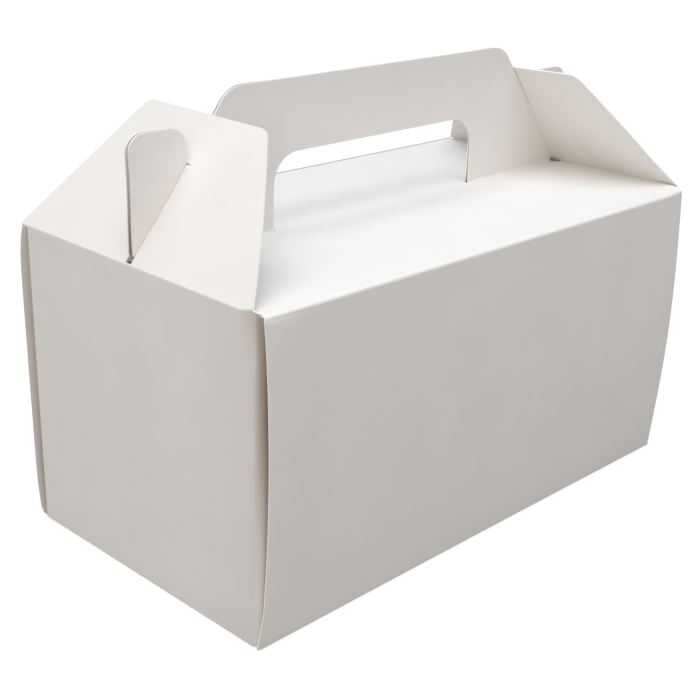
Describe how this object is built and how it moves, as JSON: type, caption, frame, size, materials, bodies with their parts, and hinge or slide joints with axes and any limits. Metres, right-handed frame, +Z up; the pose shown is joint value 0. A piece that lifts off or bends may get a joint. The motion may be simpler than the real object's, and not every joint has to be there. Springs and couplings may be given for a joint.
{
  "type": "pastry carrier box",
  "caption": "Gable carton folded from white board, with a doubled handle whose tabs lock the slotted end flaps; it carries pastries.",
  "frame": {"origin": "middle of the underside, where the box rests", "axes": "+X along the handle towards the right end, +Y towards the back wall, +Z up"},
  "size_m": [0.241, 0.129, 0.1752],
  "materials": {
    "white_board": "smooth coated white board, satin, with pale cut edges"
  },
  "bodies": {
    "carton": {"carton": "white_board"},
    "end_flap_left": {"end_flap_left": "white_board"},
    "end_flap_right": {"end_flap_right": "white_board"}
  },
  "joints": [
    {"name": "left_flap_fold", "type": "hinge", "parent": "carton", "child": "end_flap_left", "pos_m": [-0.12025, 0, 0.11975], "axis": [0, -1, 0], "range_deg": [0, 150], "deforming": ["end_flap_left"]},
    {"name": "right_flap_fold", "type": "hinge", "parent": "carton", "child": "end_flap_right", "pos_m": [0.12025, 0, 0.11975], "axis": [0, 1, 0], "range_deg": [0, 150], "deforming": ["end_flap_right"]}
  ]
}
